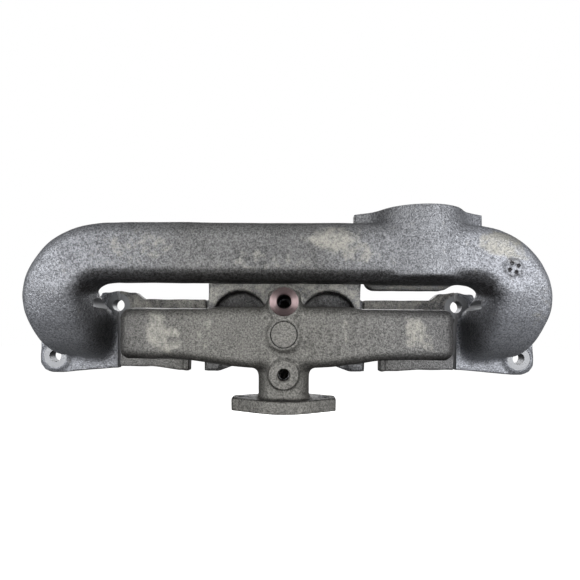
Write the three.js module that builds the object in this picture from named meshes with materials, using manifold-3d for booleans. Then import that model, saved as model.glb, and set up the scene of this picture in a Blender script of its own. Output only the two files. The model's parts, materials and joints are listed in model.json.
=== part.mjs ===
// Combined exhaust and intake manifold of a four-cylinder petrol engine: two grey iron castings, one round the other.
// The outer casting is the exhaust. It is a loop between the two end ports, with a riser from the middle ports.
// The inner casting is the intake log, with an updraught carburettor flange under its middle.
// Millimetres. X runs along the engine, +Y points into the cylinder head and +Z is up.
// The origin is on the mounting face, midway between the end ports, on their centre line.
import * as THREE from "three";
import { mergeVertices } from "three/addons/utils/BufferGeometryUtils.js";
import Module from "manifold-3d";

const wasm = await Module();
wasm.setup();

// Port pattern on the mounting face
const END_PORT_X = 191;
const END_PORT_Z = 3;
const PORT_PITCH = 71;
const INTAKE_PORT_Z = 1;
const INTAKE_PORT_X = END_PORT_X - PORT_PITCH;
const CENTRE_X = -2.5; // the middle column is cast a little off the middle of the end ports

// Flanges
const FLANGE_THICKNESS = 10;
const BOSS_THICKNESS = 13;
const FLANGE_TOP = 33;
const FLANGE_BOTTOM = -35;
const EXPANSION_GAP = 3;
const STUD_HOLE_RADIUS = 5.7;
const LUG_RADIUS = 14;
const UPPER_STUD_Z = 26.6;
const LOWER_STUD_Z = -22.4;
const SHARED_STUD_X = END_PORT_X - 29;
const OUTER_STUD_X = END_PORT_X + 31.5;
const INNER_STUD_X = INTAKE_PORT_X - 42;
const STUD_NOTCH_WIDTH = 15;

// Exhaust loop
const EXHAUST_WALL = 5.5;
const TUBE_HEIGHT = 49;
const TUBE_DEPTH = 50;
const TUBE_CORNER = 13;
const LOOP_Y = -67;
const LOOP_Z = 68;
const LEG_BEND_REACH = 41;
const LEG_BEND_SHARE = 0.55; // of the drop from the loop to the end ports
const ELBOW_POINTS = [
  [0.03, 0.52],
  [0.135, 0.34],
  [0.31, 0.17],
  [0.55, 0.045],
  [0.79, 0],
]; // shares of the way in to the face, and of the same drop still to go
const LOOP_STEPS = 46;

// Exhaust riser from the middle ports
const RISER_FRONT = -40;
const RISER_INSET = 6.5;
const RISER_FOOT = -15;
const HOOD_FOOT = 38;
const HOOD_ABOVE_LOOP = 16;
const POCKET_RADIUS = 23;
const POCKET_SIDE = 6.5;
const POCKET_DEPTH = 10;
const POCKET_Z = 15;
const MIDDLE_PORT_WIDTH = 21;
const MIDDLE_PORT_RIB = 9;
const MIDDLE_PORT_HEIGHT = 34;
const MIDDLE_PORT_CORNER = 7;
const COLUMN_WIDTH = 31;
const COLUMN_CLEARANCE = 8.5; // between its foot and the carburettor flange

// Exhaust outlet
const OUTLET_X = 110.5;
const OUTLET_Y = -62;
const OUTLET_RADIUS = 37;
const OUTLET_FOOT = 5;
const OUTLET_THICKNESS = 11;
const OUTLET_TOP = LOOP_Z + TUBE_HEIGHT / 2 + OUTLET_THICKNESS;
const OUTLET_BORE = 22;
const OUTLET_EAR_X = 42.7;
const OUTLET_EAR_RADIUS = 11;
const OUTLET_BOLT_RADIUS = 5.2;
const SHELF_OFFSET = -4.5;
const SHELF_HALF_WIDTH = 37.5;
const SHELF_DEPTH = 18;
const SHELF_DROP = 4;

// Intake log and its carburettor flange
const INTAKE_WALL = 5.5;
const LOG_HEIGHT = 42.5;
const LOG_DEPTH = 42;
const LOG_CORNER = 10;
const LOG_END_CORNER = 13;
const PAD_PROUD = 2.9; // of the gasket pad behind the log
const RUNNER_WIDTH = 34;
const NECK_WIDTH = 42;
const NECK_DEPTH = 42;
const NECK_CORNER = 15;
const NECK_OFFSET = 2.5; // of the neck behind the middle of the log
const SWELL_DROP = 9;
const THROAT_RADIUS = 15;
const CARB_FLANGE_THICKNESS = 10.5;
const CARB_FLANGE_DROP = 8.9; // below the lower boss
const CARB_BOLT_X = 34.15;
const CARB_EAR_RADIUS = 10;
const CARB_FLANGE_RADIUS = 25;
const CARB_BOLT_RADIUS = 4.8;

// Middle column: sleeve boss, plugged core hole and tapped boss, from the top down
const LOOP_CLEARANCE = 4.2; // between the upper boss and the loop over it
const UPPER_BOSS_PITCH = 26.2;
const LOWER_BOSS_PITCH = 32.1;
const COLUMN_BOSS_RADIUS = 12.3;
const COLUMN_BOSS_PROUD = 2.5;
const SLEEVE_RADIUS = 7.6;
const SLEEVE_BORE = 5.1;
const SLEEVE_HEAD_RADIUS = 11.6;
const SLEEVE_HEAD_THICKNESS = 2;
const SLEEVE_GRIP = 9;
const PLUG_RADIUS = 10.6;
const PLUG_THICKNESS = 4;
const PLUG_RECESS = 1.2;
const BUSH_RADIUS = 7;
const BUSH_BORE = 4.5;
const BUSH_LENGTH = 8;
const GASKET_THICKNESS = 1;
const GASKET_MARGIN = 1.5;
const FIT = 0.3;

// Casting button
const BUTTON_X = 179;
const BUTTON_BELOW_LOOP = 13;
const BUTTON_RADIUS = 6.6;
const BUTTON_PROUD = 0.8;

// Facets
const ROUND_SIDES = 20;
const CORNER_POINTS = 2;
const REACH = 400; // longer than any piece, for cutting tools

const slitX = SHARED_STUD_X;
const centreHalf = INNER_STUD_X - EXPANSION_GAP;
const loopFront = LOOP_Y - TUBE_DEPTH / 2;
const legDrop = LOOP_Z - END_PORT_Z;
const hoodTop = LOOP_Z + HOOD_ABOVE_LOOP;
const buttonZ = LOOP_Z - BUTTON_BELOW_LOOP;
const padFace = RISER_FRONT - GASKET_THICKNESS - 2 * FIT;
const logBack = padFace - PAD_PROUD;
const logFront = logBack - LOG_DEPTH;
const logY = (logFront + logBack) / 2;
const neckY = logY + NECK_OFFSET;
const bossFace = logFront - COLUMN_BOSS_PROUD;
const upperBossZ = LOOP_Z - TUBE_HEIGHT / 2 - LOOP_CLEARANCE - COLUMN_BOSS_RADIUS;
const plugZ = upperBossZ - UPPER_BOSS_PITCH;
const lowerBossZ = plugZ - LOWER_BOSS_PITCH;
const carbFlangeTop = lowerBossZ - COLUMN_BOSS_RADIUS - CARB_FLANGE_DROP;
const carbFlangeBottom = carbFlangeTop - CARB_FLANGE_THICKNESS;
const columnFoot = carbFlangeTop + COLUMN_CLEARANCE;

// ---- joining and cutting -------------------------------------------------------------------------------------------

function solid(geometry) {
  const bare = geometry.clone();
  bare.deleteAttribute("normal");
  bare.deleteAttribute("uv");
  const merged = mergeVertices(bare, 1e-4);
  const mesh = new wasm.Mesh({
    numProp: 3,
    vertProperties: new Float32Array(merged.attributes.position.array),
    triVerts: new Uint32Array(merged.index.array),
  });
  return new wasm.Manifold(mesh);
}

function join(pieces) {
  return pieces.reduce((whole, piece) => whole.add(piece));
}

function cut(whole, tools) {
  return tools.reduce((left, tool) => left.subtract(tool), whole);
}

function geometryOf(body) {
  const { vertProperties, triVerts } = body.getMesh();
  const geometry = new THREE.BufferGeometry();
  geometry.setAttribute("position", new THREE.BufferAttribute(vertProperties, 3));
  geometry.setIndex(new THREE.BufferAttribute(triVerts, 1));
  const faceted = geometry.toNonIndexed();
  faceted.computeVertexNormals();
  return faceted;
}

// ---- shapes --------------------------------------------------------------------------------------------------------

function roundedRectangle(width, height, corner) {
  const [w, h] = [width / 2, height / 2];
  const shape = new THREE.Shape();
  shape.moveTo(w, corner - h);
  shape.absarc(w - corner, h - corner, corner, 0, Math.PI / 2);
  shape.absarc(corner - w, h - corner, corner, Math.PI / 2, Math.PI);
  shape.absarc(corner - w, corner - h, corner, Math.PI, 1.5 * Math.PI);
  shape.absarc(w - corner, corner - h, corner, 1.5 * Math.PI, 2 * Math.PI);
  return shape;
}

// The outline that a belt would take round a set of discs [x, y, radius]; a disc of radius 0 is a sharp corner.
function beltOutline(discs) {
  const points = discs.flatMap(([x, y, radius]) => {
    if (radius === 0) return [new THREE.Vector2(x, y)];
    return new THREE.EllipseCurve(x, y, radius, radius).getPoints(ROUND_SIDES).slice(1);
  });
  points.sort((a, b) => a.x - b.x || a.y - b.y);
  const turn = (a, b, c) => (b.x - a.x) * (c.y - a.y) - (b.y - a.y) * (c.x - a.x);
  const chain = (ordered) => {
    const kept = [];
    for (const point of ordered) {
      while (kept.length > 1 && turn(kept.at(-2), kept.at(-1), point) <= 1e-6) kept.pop();
      kept.push(point);
    }
    return kept.slice(0, -1);
  };
  return new THREE.Shape([...chain(points), ...chain([...points].reverse())]);
}

// A prism along Y: the shape's x and y become X and Z, between two values of Y.
function prismY(shape, back, front) {
  const geometry = new THREE.ExtrudeGeometry(shape, {
    depth: back - front,
    bevelEnabled: false,
    curveSegments: CORNER_POINTS,
  });
  geometry.rotateX(Math.PI / 2);
  return solid(geometry.translate(0, back, 0));
}

// A prism along Z: the shape's x and y become X and Y.
function prismZ(shape, bottom, top) {
  const geometry = new THREE.ExtrudeGeometry(shape, {
    depth: top - bottom,
    bevelEnabled: false,
    curveSegments: CORNER_POINTS,
  });
  return solid(geometry.translate(0, 0, bottom));
}

// A prism along X: the shape's x and y become Y and Z.
function prismX(shape, left, right) {
  const geometry = new THREE.ExtrudeGeometry(shape, {
    depth: right - left,
    bevelEnabled: false,
    curveSegments: CORNER_POINTS,
  });
  geometry.rotateX(Math.PI / 2);
  geometry.rotateZ(Math.PI / 2);
  return solid(geometry.translate(left, 0, 0));
}

function box(x0, x1, y0, y1, z0, z1) {
  const geometry = new THREE.BoxGeometry(x1 - x0, y1 - y0, z1 - z0);
  return solid(geometry.translate((x0 + x1) / 2, (y0 + y1) / 2, (z0 + z1) / 2));
}

function rodY(x, z, radius, y0, y1) {
  const geometry = new THREE.CylinderGeometry(radius, radius, y1 - y0, ROUND_SIDES);
  return solid(geometry.translate(x, (y0 + y1) / 2, z));
}

function rodZ(x, y, radius, z0, z1) {
  const geometry = new THREE.CylinderGeometry(radius, radius, z1 - z0, ROUND_SIDES);
  geometry.rotateX(Math.PI / 2);
  return solid(geometry.translate(x, y, (z0 + z1) / 2));
}

// A path whose section stands upright at its middle and is carried from there to both ends without twisting.
class UprightPath extends THREE.CatmullRomCurve3 {
  computeFrenetFrames(segments) {
    const stations = Array.from({ length: segments + 1 }, (_, i) => i / segments);
    const tangents = stations.map((u) => this.getTangentAt(u));
    const middle = segments / 2;
    const normals = [];
    normals[middle] = new THREE.Vector3(0, 0, 1);
    for (let i = middle; i < segments; i++) {
      normals[i + 1] = turned(normals[i], tangents[i], tangents[i + 1]);
    }
    for (let i = middle; i > 0; i--) {
      normals[i - 1] = turned(normals[i], tangents[i], tangents[i - 1]);
    }
    const binormals = normals.map((n, i) => new THREE.Vector3().crossVectors(tangents[i], n));
    return { tangents, normals, binormals };
  }
}

function turned(normal, from, to) {
  return normal.clone().applyQuaternion(new THREE.Quaternion().setFromUnitVectors(from, to));
}

// A path that is the same on both sides of X = 0, from the points of its right-hand side, middle first.
function mirroredPath(rightSide) {
  const right = rightSide.map(([x, y, z]) => new THREE.Vector3(x, y, z));
  const left = right.map((p) => new THREE.Vector3(-p.x, p.y, p.z)).reverse();
  return new UprightPath([...left, ...right], false, "centripetal");
}

function swept(path, section, steps) {
  const geometry = new THREE.ExtrudeGeometry(section, {
    steps,
    extrudePath: path,
    bevelEnabled: false,
    curveSegments: CORNER_POINTS,
  });
  return solid(geometry);
}

// ---- exhaust casting -----------------------------------------------------------------------------------------------

// The top run turns down into a leg in line with the end port, and the leg turns back into the port.
function loopPath() {
  const bendStart = END_PORT_X - LEG_BEND_REACH;
  const onBend = (angle) => [
    bendStart + LEG_BEND_REACH * Math.sin(angle),
    LOOP_Y,
    LOOP_Z - LEG_BEND_SHARE * legDrop * (1 - Math.cos(angle)),
  ];
  return mirroredPath([
    [bendStart / 3, LOOP_Y, LOOP_Z],
    [bendStart * 0.7, LOOP_Y, LOOP_Z],
    onBend(0),
    onBend(Math.PI / 6),
    onBend(Math.PI / 3),
    ...ELBOW_POINTS.map(([inward, above]) => [END_PORT_X, LOOP_Y * (1 - inward), END_PORT_Z + legDrop * above]),
    [END_PORT_X, FIT, END_PORT_Z],
  ]);
}

function endFlange(side) {
  const plate = beltOutline([
    [side * SHARED_STUD_X, UPPER_STUD_Z, LUG_RADIUS - 2],
    [side * (SHARED_STUD_X + 22), UPPER_STUD_Z, LUG_RADIUS - 2],
    [side * OUTER_STUD_X, LOWER_STUD_Z, LUG_RADIUS],
    [side * (END_PORT_X + 6), END_PORT_Z, TUBE_HEIGHT / 2 + 3],
    [side * SHARED_STUD_X, FLANGE_BOTTOM + 4, 0],
  ]);
  return join([
    prismY(plate, 0, -FLANGE_THICKNESS),
    rodY(side * OUTER_STUD_X, LOWER_STUD_Z, LUG_RADIUS, -BOSS_THICKNESS, 0),
    rodY(side * SHARED_STUD_X, UPPER_STUD_Z, LUG_RADIUS - 2, -BOSS_THICKNESS, 0),
  ]);
}

function middleFlange() {
  const left = CENTRE_X - centreHalf;
  const right = CENTRE_X + centreHalf;
  const plate = new THREE.Shape();
  plate.moveTo(left, FLANGE_TOP);
  plate.lineTo(left, FLANGE_BOTTOM);
  plate.lineTo(left + 15, FLANGE_BOTTOM);
  plate.lineTo(left + 38, FLANGE_BOTTOM + 8);
  plate.lineTo(right - 38, FLANGE_BOTTOM + 8);
  plate.lineTo(right - 15, FLANGE_BOTTOM);
  plate.lineTo(right, FLANGE_BOTTOM);
  plate.lineTo(right, FLANGE_TOP);
  return prismY(plate, 0, -FLANGE_THICKNESS);
}

function riserBlock(grow) {
  const wall = EXHAUST_WALL - grow;
  const profile = new THREE.Shape();
  profile.moveTo(-wall, RISER_FOOT + wall);
  profile.lineTo(-wall, HOOD_FOOT - wall);
  profile.lineTo(LOOP_Y + TUBE_DEPTH / 2 - 2 * wall, hoodTop - wall);
  profile.lineTo(LOOP_Y + TUBE_DEPTH / 4, hoodTop - wall);
  profile.lineTo(LOOP_Y + TUBE_DEPTH / 4, LOOP_Z - TUBE_HEIGHT / 2 + 2 * EXHAUST_WALL);
  profile.lineTo(RISER_FRONT + wall, LOOP_Z - TUBE_HEIGHT / 2 + wall);
  profile.lineTo(RISER_FRONT + wall, RISER_FOOT + wall);
  const half = centreHalf - RISER_INSET - wall;
  return prismX(profile, CENTRE_X - half, CENTRE_X + half);
}

function riserCavity() {
  const half = centreHalf - RISER_INSET - EXHAUST_WALL;
  const back = -FLANGE_THICKNESS + 2;
  const front = RISER_FRONT + POCKET_DEPTH + EXHAUST_WALL;
  const neckTop = LOOP_Z - TUBE_HEIGHT / 2 + 2 * EXHAUST_WALL;
  const profile = new THREE.Shape();
  profile.moveTo(back, RISER_FOOT + EXHAUST_WALL);
  profile.lineTo(back, HOOD_FOOT - EXHAUST_WALL);
  profile.lineTo(LOOP_Y + TUBE_DEPTH / 2 - EXHAUST_WALL, hoodTop - 2 * EXHAUST_WALL);
  profile.lineTo(LOOP_Y, hoodTop - 2 * EXHAUST_WALL);
  profile.lineTo(LOOP_Y, neckTop);
  profile.lineTo(LOOP_Y + TUBE_DEPTH / 2 - EXHAUST_WALL, neckTop);
  profile.lineTo(front, HOOD_FOOT);
  profile.lineTo(front, RISER_FOOT + EXHAUST_WALL);
  return prismX(profile, CENTRE_X - half, CENTRE_X + half);
}

function riserPockets() {
  const offset = centreHalf - RISER_INSET - POCKET_SIDE - POCKET_RADIUS;
  return [-offset, offset].map((x) =>
    rodY(CENTRE_X + x, POCKET_Z, POCKET_RADIUS, RISER_FRONT - 1, RISER_FRONT + POCKET_DEPTH),
  );
}

// The solid column in front of the middle flange that the intake casting is registered on.
function riserColumn() {
  const x0 = CENTRE_X - COLUMN_WIDTH / 2;
  const foot = box(x0, x0 + COLUMN_WIDTH, RISER_FRONT, -1, columnFoot, RISER_FOOT + 1);
  const grip = rodY(CENTRE_X, upperBossZ, SLEEVE_HEAD_RADIUS, RISER_FRONT + 1, -FLANGE_THICKNESS);
  return join([foot, grip]);
}

// A round outlet chamber through the loop's front, topped by a two-bolt flange, with a shelf behind the loop.
function outlet() {
  const loopTop = LOOP_Z + TUBE_HEIGHT / 2;
  const loopBottom = LOOP_Z - TUBE_HEIGHT / 2;
  const ears = beltOutline([
    [OUTLET_X - OUTLET_EAR_X, OUTLET_Y, OUTLET_EAR_RADIUS],
    [OUTLET_X + OUTLET_EAR_X, OUTLET_Y, OUTLET_EAR_RADIUS],
    [OUTLET_X, OUTLET_Y, OUTLET_BORE + 3],
  ]);
  return join([
    prismZ(ears, loopTop - 1, OUTLET_TOP),
    rodZ(OUTLET_X, OUTLET_Y, OUTLET_RADIUS, loopBottom + OUTLET_FOOT, OUTLET_TOP),
    box(
      OUTLET_X + SHELF_OFFSET - SHELF_HALF_WIDTH,
      OUTLET_X + SHELF_OFFSET + SHELF_HALF_WIDTH,
      LOOP_Y + TUBE_DEPTH / 2 - SHELF_DEPTH / 2,
      LOOP_Y + TUBE_DEPTH / 2 + SHELF_DEPTH / 2,
      loopBottom - SHELF_DROP,
      LOOP_Z,
    ),
  ]);
}

function outletTools() {
  const bolts = [-OUTLET_EAR_X, OUTLET_EAR_X].map((x) =>
    rodZ(OUTLET_X + x, OUTLET_Y, OUTLET_BOLT_RADIUS, LOOP_Z + TUBE_HEIGHT / 2 - 14, OUTLET_TOP + 1),
  );
  return [rodZ(OUTLET_X, OUTLET_Y, OUTLET_BORE, LOOP_Z - 4, OUTLET_TOP + 1), ...bolts];
}

function castingButton() {
  return rodY(BUTTON_X, buttonZ, BUTTON_RADIUS, loopFront - BUTTON_PROUD, LOOP_Y - TUBE_DEPTH / 4);
}

function studHoles() {
  const holes = [];
  for (const side of [-1, 1]) {
    holes.push(rodY(side * SHARED_STUD_X, UPPER_STUD_Z, STUD_HOLE_RADIUS, -REACH, REACH));
    holes.push(rodY(side * OUTER_STUD_X, LOWER_STUD_Z, STUD_HOLE_RADIUS, -REACH, REACH));
  }
  return holes;
}

function exhaustCasting() {
  const path = loopPath();
  const tube = swept(path, roundedRectangle(TUBE_HEIGHT, TUBE_DEPTH, TUBE_CORNER), LOOP_STEPS);
  const passage = swept(
    path,
    roundedRectangle(
      TUBE_HEIGHT - 2 * EXHAUST_WALL,
      TUBE_DEPTH - 2 * EXHAUST_WALL,
      TUBE_CORNER - EXHAUST_WALL / 2,
    ),
    LOOP_STEPS,
  );
  const slitTools = [-1, 1].map((side) => {
    const inner = slitX - EXPANSION_GAP / 2 - 20;
    const outer = slitX + EXPANSION_GAP / 2;
    const [x0, x1] = [side * inner, side * outer].sort((a, b) => a - b);
    return box(x0, x1, -BOSS_THICKNESS - 1, 1, FLANGE_BOTTOM - 20, FLANGE_TOP + 20);
  });
  const walls = join([
    tube,
    endFlange(-1),
    endFlange(1),
    middleFlange(),
    riserBlock(EXHAUST_WALL),
    outlet(),
    castingButton(),
  ]);
  const hollow = cut(walls, [passage, riserCavity(), ...riserPockets(), ...outletTools()]);
  const columned = hollow.add(riserColumn());
  const port = roundedRectangle(MIDDLE_PORT_WIDTH, MIDDLE_PORT_HEIGHT, MIDDLE_PORT_CORNER);
  const middlePorts = [-1, 1].map((side) => {
    const x = CENTRE_X + (side * (MIDDLE_PORT_WIDTH + MIDDLE_PORT_RIB)) / 2;
    return prismY(port, 1, -FLANGE_THICKNESS - 1).translate([x, 0, END_PORT_Z + 2]);
  });
  const sleeveSeat = rodY(
    CENTRE_X,
    upperBossZ,
    SLEEVE_RADIUS + FIT,
    RISER_FRONT - 1,
    RISER_FRONT + SLEEVE_GRIP + FIT,
  );
  const face = box(-REACH, REACH, 0, REACH, -REACH, REACH);
  return cut(columned, [...middlePorts, sleeveSeat, ...slitTools, ...studHoles(), face]);
}

// ---- intake casting ------------------------------------------------------------------------------------------------

// The log and its two runners to the ports, drawn in by a wall for the passage inside them.
function logAndRunners(wall, runnerTip) {
  const end = INTAKE_PORT_X + RUNNER_WIDTH / 2 - wall;
  const height = LOG_HEIGHT - 2 * wall;
  const depth = LOG_DEPTH - 2 * wall;
  const corner = LOG_CORNER - wall / 2;
  const endCorner = LOG_END_CORNER - wall;
  const log = prismX(roundedRectangle(depth, height, corner), -end, end).translate([0, logY, INTAKE_PORT_Z]);
  const section = roundedRectangle(RUNNER_WIDTH - 2 * wall, height, corner);
  const runners = [-INTAKE_PORT_X, INTAKE_PORT_X].map((x) =>
    prismY(section, runnerTip, logY).translate([x, 0, INTAKE_PORT_Z]),
  );
  const plan = roundedRectangle(2 * end, 2 * (depth / 2 - logY), endCorner);
  const rounding = prismZ(plan, INTAKE_PORT_Z - LOG_HEIGHT, INTAKE_PORT_Z + LOG_HEIGHT);
  return join([log, ...runners]).intersect(rounding);
}

function intakeFlange(side) {
  const inner = side < 0 ? CENTRE_X - centreHalf - EXPANSION_GAP : CENTRE_X + centreHalf + EXPANSION_GAP;
  const outer = side * (slitX - EXPANSION_GAP / 2);
  const lugTop = UPPER_STUD_Z + LUG_RADIUS - 2;
  const plate = new THREE.Shape();
  plate.moveTo(inner, FLANGE_TOP);
  plate.lineTo(inner, FLANGE_BOTTOM);
  plate.lineTo(outer, FLANGE_BOTTOM + 4);
  plate.lineTo(outer, lugTop);
  plate.lineTo(outer - side * 14, lugTop);
  plate.lineTo(outer - side * 22, FLANGE_TOP);
  const lug = rodY(side * SHARED_STUD_X, UPPER_STUD_Z, LUG_RADIUS - 2, -BOSS_THICKNESS, 0);
  const keep = box(
    Math.min(outer, inner),
    Math.max(outer, inner),
    -BOSS_THICKNESS - 1,
    1,
    FLANGE_BOTTOM,
    lugTop + 1,
  );
  return prismY(plate, 0, -FLANGE_THICKNESS).add(lug.intersect(keep));
}

function neck() {
  const section = roundedRectangle(NECK_WIDTH, NECK_DEPTH, NECK_CORNER);
  const tube = prismZ(section, carbFlangeTop - 1, INTAKE_PORT_Z).translate([CENTRE_X, neckY, 0]);
  const logBottom = INTAKE_PORT_Z - LOG_HEIGHT / 2;
  const swell = beltOutline([
    [-NECK_WIDTH, INTAKE_PORT_Z, 0],
    [-NECK_WIDTH * 0.8, logBottom - 2, 0],
    [-NECK_WIDTH / 2, logBottom - SWELL_DROP, 0],
    [NECK_WIDTH / 2, logBottom - SWELL_DROP, 0],
    [NECK_WIDTH * 0.8, logBottom - 2, 0],
    [NECK_WIDTH, INTAKE_PORT_Z, 0],
  ]);
  const shoulder = prismY(swell, logBack - 4, logFront + 4).translate([CENTRE_X, 0, 0]);
  return tube.add(shoulder);
}

function carburettorFlange() {
  const outline = beltOutline([
    [CENTRE_X - CARB_BOLT_X, neckY, CARB_EAR_RADIUS],
    [CENTRE_X + CARB_BOLT_X, neckY, CARB_EAR_RADIUS],
    [CENTRE_X, neckY, CARB_FLANGE_RADIUS],
  ]);
  return prismZ(outline, carbFlangeBottom, carbFlangeTop);
}

function columnBosses() {
  return [upperBossZ, plugZ, lowerBossZ].map((z) =>
    rodY(CENTRE_X, z, COLUMN_BOSS_RADIUS, bossFace, neckY - THROAT_RADIUS),
  );
}

function upperBossSpine() {
  const half = COLUMN_BOSS_RADIUS;
  const spine = rodY(CENTRE_X, upperBossZ, half, bossFace, padFace);
  const pad = box(
    CENTRE_X - COLUMN_WIDTH / 2 + GASKET_MARGIN,
    CENTRE_X + COLUMN_WIDTH / 2 - GASKET_MARGIN,
    logY,
    padFace,
    columnFoot + GASKET_MARGIN,
    upperBossZ + COLUMN_BOSS_RADIUS - GASKET_MARGIN,
  );
  return join([spine, pad]);
}

function intakeCasting() {
  const walls = join([
    logAndRunners(0, 0),
    intakeFlange(-1),
    intakeFlange(1),
    neck(),
    carburettorFlange(),
    ...columnBosses(),
    upperBossSpine(),
  ]);
  const throat = rodZ(CENTRE_X, neckY, THROAT_RADIUS, carbFlangeBottom - 1, INTAKE_PORT_Z);
  const carbBolts = [-CARB_BOLT_X, CARB_BOLT_X].map((x) =>
    rodZ(CENTRE_X + x, neckY, CARB_BOLT_RADIUS, carbFlangeBottom - 1, carbFlangeTop + 1),
  );
  const notches = [-1, 1].map((side) => {
    const x = CENTRE_X + side * (centreHalf + EXPANSION_GAP + STUD_NOTCH_WIDTH / 2 - 1);
    const mouth = box(
      x - STUD_NOTCH_WIDTH / 2,
      x + STUD_NOTCH_WIDTH / 2,
      -BOSS_THICKNESS,
      1,
      FLANGE_BOTTOM - 1,
      LOWER_STUD_Z,
    );
    return rodY(x, LOWER_STUD_Z, STUD_NOTCH_WIDTH / 2, -BOSS_THICKNESS, 1).add(mouth);
  });
  const sleeveBore = rodY(CENTRE_X, upperBossZ, SLEEVE_RADIUS + FIT, bossFace - 1, 0);
  const plugBore = rodY(CENTRE_X, plugZ, PLUG_RADIUS + FIT, bossFace - 1, logY);
  const bushBore = rodY(CENTRE_X, lowerBossZ, BUSH_RADIUS + FIT, bossFace - 1, bossFace + BUSH_LENGTH + FIT);
  const face = box(-REACH, REACH, 0, REACH, -REACH, REACH);
  return cut(walls, [
    logAndRunners(INTAKE_WALL, 1),
    throat,
    ...carbBolts,
    ...notches,
    sleeveBore,
    plugBore,
    bushBore,
    ...studHoles(),
    face,
  ]);
}

// ---- small pieces of the middle column -----------------------------------------------------------------------------

function riserGasket() {
  const half = COLUMN_WIDTH / 2 - GASKET_MARGIN;
  const top = upperBossZ + COLUMN_BOSS_RADIUS - GASKET_MARGIN;
  const bottom = columnFoot + GASKET_MARGIN;
  const front = RISER_FRONT - FIT - GASKET_THICKNESS;
  const sheet = box(CENTRE_X - half, CENTRE_X + half, front, RISER_FRONT - FIT, bottom, top);
  return cut(sheet, [rodY(CENTRE_X, upperBossZ, SLEEVE_RADIUS + FIT, -REACH, REACH)]);
}

// A headed tube or plug turned about Y: head outside the boss face, shank in the bore.
function headedTube(z, headRadius, headThickness, shankRadius, bore, tip) {
  const headFace = bossFace - FIT - headThickness;
  const head = rodY(CENTRE_X, z, headRadius, headFace, bossFace - FIT);
  const shank = rodY(CENTRE_X, z, shankRadius, bossFace - FIT - headThickness / 2, tip);
  return cut(head.add(shank), [rodY(CENTRE_X, z, bore, headFace - 1, tip + 1)]);
}

function studSleeve() {
  const tip = RISER_FRONT + SLEEVE_GRIP;
  return headedTube(upperBossZ, SLEEVE_HEAD_RADIUS, SLEEVE_HEAD_THICKNESS, SLEEVE_RADIUS, SLEEVE_BORE, tip);
}

function adapterBush() {
  const tip = bossFace + BUSH_LENGTH;
  return headedTube(lowerBossZ, SLEEVE_HEAD_RADIUS, SLEEVE_HEAD_THICKNESS / 2, BUSH_RADIUS, BUSH_BORE, tip);
}

function corePlug() {
  const front = bossFace + PLUG_RECESS;
  const cup = rodY(CENTRE_X, plugZ, PLUG_RADIUS, front, front + PLUG_THICKNESS);
  const hollow = rodY(CENTRE_X, plugZ, PLUG_RADIUS - 2, front + 2, front + PLUG_THICKNESS + 1);
  return cut(cup, [hollow]);
}

// ---- assembly ------------------------------------------------------------------------------------------------------

const greyIron = { color: 0x77787a, roughness: 0.72, metalness: 0.35 };
const turnedSteel = { color: 0x9c938f, roughness: 0.38, metalness: 0.85 };
const gasketBoard = { color: 0x4b4742, roughness: 0.9, metalness: 0.0 };

function piece(name, body, finish) {
  const mesh = new THREE.Mesh(geometryOf(body), new THREE.MeshStandardMaterial(finish));
  mesh.name = name;
  return mesh;
}

const manifold = new THREE.Group();
manifold.add(
  piece("exhaust_casting", exhaustCasting(), greyIron),
  piece("intake_casting", intakeCasting(), greyIron),
  piece("riser_gasket", riserGasket(), gasketBoard),
  piece("stud_sleeve", studSleeve(), turnedSteel),
  piece("core_plug", corePlug(), turnedSteel),
  piece("adapter_bush", adapterBush(), turnedSteel),
);

export default manifold;
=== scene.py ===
import math

import bmesh
import bpy
import json
import numpy as np
import openvdb
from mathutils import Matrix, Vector


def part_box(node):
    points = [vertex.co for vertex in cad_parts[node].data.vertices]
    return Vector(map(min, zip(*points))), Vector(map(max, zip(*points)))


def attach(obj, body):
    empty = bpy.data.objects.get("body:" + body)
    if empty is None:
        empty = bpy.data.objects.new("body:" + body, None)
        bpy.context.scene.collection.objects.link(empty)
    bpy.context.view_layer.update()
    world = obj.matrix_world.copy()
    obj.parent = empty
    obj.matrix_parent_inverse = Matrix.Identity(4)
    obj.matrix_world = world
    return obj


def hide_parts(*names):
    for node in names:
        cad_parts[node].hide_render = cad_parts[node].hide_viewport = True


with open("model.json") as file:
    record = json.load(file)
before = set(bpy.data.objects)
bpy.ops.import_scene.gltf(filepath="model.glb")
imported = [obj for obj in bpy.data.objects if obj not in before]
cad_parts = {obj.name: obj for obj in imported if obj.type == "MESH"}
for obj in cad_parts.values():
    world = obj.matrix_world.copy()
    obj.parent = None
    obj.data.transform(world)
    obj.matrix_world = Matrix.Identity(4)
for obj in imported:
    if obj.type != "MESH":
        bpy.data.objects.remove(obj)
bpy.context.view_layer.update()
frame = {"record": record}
MM = 0.001

# Camera ---------------------------------------------------------------------------------------------
# Square on to the front of the part, close enough for strong perspective, level with the intake log.
VIEW_DISTANCE = 0.460
FOCAL_LENGTH_IN_WIDTHS = 466 / 580
camera_data = bpy.data.cameras.new("camera")
camera_data.sensor_width = 36.0
camera_data.lens = camera_data.sensor_width * FOCAL_LENGTH_IN_WIDTHS
camera_data.shift_x = 0.004
camera_data.shift_y = 0.060
camera = bpy.data.objects.new("camera", camera_data)
camera.location = (0.0005, -VIEW_DISTANCE, 0.0087)
camera.rotation_euler = (math.pi / 2, math.radians(-0.35), 0.0)
bpy.context.scene.collection.objects.link(camera)
bpy.context.scene.camera = camera

# Studio ---------------------------------------------------------------------------------------------
# A pale floor well below the part and broad soft lights round the camera, so that faces turned to
# the front are bright and the undersides fall off to black.
FLOOR_LEVEL = -0.32
bpy.context.scene.view_settings.view_transform = "Standard"


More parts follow.
